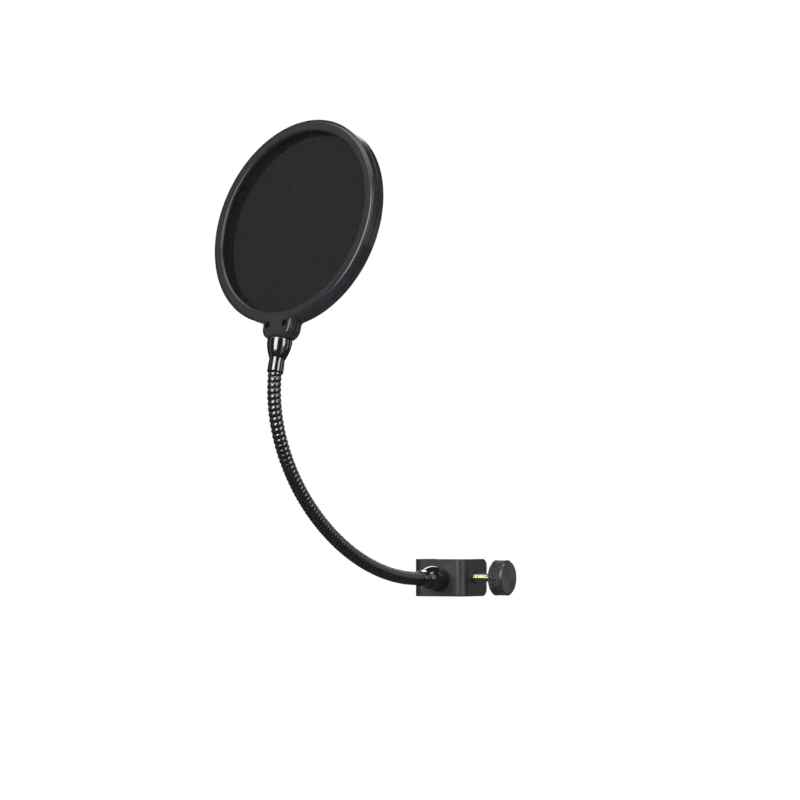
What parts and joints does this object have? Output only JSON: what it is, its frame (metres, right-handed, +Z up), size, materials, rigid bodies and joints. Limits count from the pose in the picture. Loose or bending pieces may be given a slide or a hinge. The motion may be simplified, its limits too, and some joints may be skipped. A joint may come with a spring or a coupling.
{
  "type": "pop filter",
  "caption": "Clamp-on pop filter: a round double nylon screen in a plastic hoop on a bendable gooseneck, with a screw clamp for a microphone stand.",
  "frame": {"origin": "where the clamp screw's axis meets the fixed jaw's gripping face", "axes": "+X along the clamp screw from the fixed jaw to the knob, +Y out of the clamp's open side, +Z up along the stand's tube"},
  "size_m": [0.1536, 0.2911, 0.3503],
  "materials": {
    "coated_steel": "satin black powder coat",
    "grip_rubber": "matte black rubber",
    "zinc_steel": "zinc plated",
    "gloss_ferrule": "gloss black",
    "foot_plastic": "moulded black",
    "screw_brass": "bright",
    "knob_plastic": "moulded black, knurled",
    "hoop_plastic": "semi-gloss moulded black",
    "screen_nylon": "fine nylon mesh",
    "dark_screw": "black oxide",
    "hose_steel": "gloss black ridged hose"
  },
  "bodies": {
    "clamp": {"clamp_bracket": "coated_steel", "jaw_liner": "grip_rubber", "press_nut": "zinc_steel", "neck_bolt": "zinc_steel", "lock_washer": "zinc_steel", "lower_ferrule": "gloss_ferrule"},
    "foot": {"pressure_foot": "foot_plastic", "foot_pad": "grip_rubber"},
    "screw": {"clamp_screw": "screw_brass", "knob": "knob_plastic", "foot_clip": "zinc_steel"},
    "neck_link_01": {"gooseneck_01": "hose_steel"},
    "neck_link_02": {"gooseneck_02": "hose_steel"},
    "neck_link_03": {"gooseneck_03": "hose_steel"},
    "neck_link_04": {"gooseneck_04": "hose_steel"},
    "neck_link_05": {"gooseneck_05": "hose_steel"},
    "neck_link_06": {"gooseneck_06": "hose_steel"},
    "neck_link_07": {"gooseneck_07": "hose_steel"},
    "neck_link_08": {"gooseneck_08": "hose_steel"},
    "neck_link_09": {"gooseneck_09": "hose_steel"},
    "neck_link_10": {"gooseneck_10": "hose_steel"},
    "neck_link_11": {"gooseneck_11": "hose_steel"},
    "neck_link_12": {"gooseneck_12": "hose_steel"},
    "neck_link_13": {"gooseneck_13": "hose_steel"},
    "neck_link_14": {"gooseneck_14": "hose_steel"},
    "neck_link_15": {"gooseneck_15": "hose_steel"},
    "neck_link_16": {"gooseneck_16": "hose_steel"},
    "neck_tip": {"upper_ferrule": "gloss_ferrule", "head_stud": "zinc_steel"},
    "head": {"front_hoop": "hoop_plastic", "rear_hoop": "hoop_plastic", "spacer_ring": "hoop_plastic", "front_screen": "screen_nylon", "rear_screen": "screen_nylon", "tab_screw_left": "dark_screw", "tab_screw_right": "dark_screw"}
  },
  "joints": [
    {"name": "neck_lower_bend", "type": "hinge", "parent": "clamp", "child": "neck_link_01", "pos_m": [0.0177, -0.0494, 0], "axis": [-1, 0, 0.0087], "range_deg": [-11, 11]},
    {"name": "neck_lower_sway", "type": "hinge", "parent": "neck_link_01", "child": "neck_link_02", "pos_m": [0.0177, -0.06769, 0.00064], "axis": [0, 0.0692, 0.9976], "range_deg": [-8, 8]},
    {"name": "neck_lower_bend_02", "type": "hinge", "parent": "neck_link_02", "child": "neck_link_03", "pos_m": [0.0177, -0.08589, 0.00251], "axis": [-1, -0.0012, -0.0086], "range_deg": [-11, 11]},
    {"name": "neck_lower_sway_03", "type": "hinge", "parent": "neck_link_03", "child": "neck_link_04", "pos_m": [0.0177, -0.10394, 0.00553], "axis": [0, 0.1957, 0.9807], "range_deg": [-8, 8]},
    {"name": "neck_lower_bend_04", "type": "hinge", "parent": "neck_link_04", "child": "neck_link_05", "pos_m": [0.0177, -0.12177, 0.00966], "axis": [-1, 0.0022, 0.0084], "range_deg": [-11, 11]},
    {"name": "neck_lower_sway_05", "type": "hinge", "parent": "neck_link_05", "child": "neck_link_06", "pos_m": [0.0177, -0.13932, 0.01486], "axis": [0, 0.313, 0.9498], "range_deg": [-8, 8]},
    {"name": "neck_lower_bend_06", "type": "hinge", "parent": "neck_link_06", "child": "neck_link_07", "pos_m": [0.0177, -0.15652, 0.02111], "axis": [-1, -0.0032, -0.0081], "range_deg": [-11, 11]},
    {"name": "neck_lower_sway_07", "type": "hinge", "parent": "neck_link_07", "child": "neck_link_08", "pos_m": [0.0177, -0.17329, 0.02843], "axis": [0, 0.4294, 0.9031], "range_deg": [-8, 8]},
    {"name": "neck_upper_bend", "type": "hinge", "parent": "neck_link_08", "child": "neck_link_09", "pos_m": [0.0177, -0.18954, 0.03685], "axis": [-1, 0.0043, 0.0076], "range_deg": [-15, 9]},
    {"name": "neck_upper_sway", "type": "hinge", "parent": "neck_link_09", "child": "neck_link_10", "pos_m": [0.0177, -0.20515, 0.0464], "axis": [0, 0.5546, 0.8321], "range_deg": [-8, 8]},
    {"name": "neck_upper_bend_10", "type": "hinge", "parent": "neck_link_10", "child": "neck_link_11", "pos_m": [0.0177, -0.21994, 0.05718], "axis": [-1, -0.0054, -0.0068], "range_deg": [-15, 9]},
    {"name": "neck_upper_sway_11", "type": "hinge", "parent": "neck_link_11", "child": "neck_link_12", "pos_m": [0.0177, -0.23365, 0.06928], "axis": [0, 0.7, 0.7141], "range_deg": [-8, 8]},
    {"name": "neck_upper_bend_12", "type": "hinge", "parent": "neck_link_12", "child": "neck_link_13", "pos_m": [0.0177, -0.24593, 0.08285], "axis": [-1, 0.0068, 0.0054], "range_deg": [-15, 9]},
    {"name": "neck_upper_sway_13", "type": "hinge", "parent": "neck_link_13", "child": "neck_link_14", "pos_m": [0.0177, -0.25619, 0.09798], "axis": [0, 0.8706, 0.4921], "range_deg": [-8, 8]},
    {"name": "neck_upper_bend_14", "type": "hinge", "parent": "neck_link_14", "child": "neck_link_15", "pos_m": [0.0177, -0.26362, 0.11468], "axis": [-1, -0.0083, -0.0027], "range_deg": [-15, 9]},
    {"name": "neck_upper_sway_15", "type": "hinge", "parent": "neck_link_15", "child": "neck_link_16", "pos_m": [0.0177, -0.26716, 0.13259], "axis": [0, 0.9976, 0.0696], "range_deg": [-8, 8]},
    {"name": "neck_upper_bend_16", "type": "hinge", "parent": "neck_link_16", "child": "neck_tip", "pos_m": [0.0177, -0.266, 0.1508], "axis": [-1, 0.0086, -0.0017], "range_deg": [-15, 9]},
    {"name": "head_swivel", "type": "hinge", "parent": "neck_tip", "child": "head", "pos_m": [0.0177, -0.25889, 0.17404], "axis": [0, 0.2924, 0.9563], "range_deg": [-40, 40]},
    {"name": "screw_travel", "type": "slide", "parent": "clamp", "child": "foot", "axis": [1, 0, 0], "range_m": [-0.0168, 0.01125]},
    {"name": "screw_turn", "type": "hinge", "parent": "foot", "child": "screw", "pos_m": [0, 0, 0], "axis": [1, 0, 0], "range_deg": [-6048, 4050]}
  ],
  "couplings": [
    {"joint": "neck_lower_bend_02", "follows": "neck_lower_bend", "ratio": 1},
    {"joint": "neck_lower_sway_03", "follows": "neck_lower_sway", "ratio": 1},
    {"joint": "neck_lower_bend_04", "follows": "neck_lower_bend", "ratio": 1},
    {"joint": "neck_lower_sway_05", "follows": "neck_lower_sway", "ratio": 1},
    {"joint": "neck_lower_bend_06", "follows": "neck_lower_bend", "ratio": 1},
    {"joint": "neck_lower_sway_07", "follows": "neck_lower_sway", "ratio": 1},
    {"joint": "neck_upper_bend_10", "follows": "neck_upper_bend", "ratio": 1},
    {"joint": "neck_upper_sway_11", "follows": "neck_upper_sway", "ratio": 1},
    {"joint": "neck_upper_bend_12", "follows": "neck_upper_bend", "ratio": 1},
    {"joint": "neck_upper_sway_13", "follows": "neck_upper_sway", "ratio": 1},
    {"joint": "neck_upper_bend_14", "follows": "neck_upper_bend", "ratio": 1},
    {"joint": "neck_upper_sway_15", "follows": "neck_upper_sway", "ratio": 1},
    {"joint": "neck_upper_bend_16", "follows": "neck_upper_bend", "ratio": 1},
    {"joint": "screw_turn", "follows": "screw_travel", "rad_per_m": 6283.2}
  ]
}
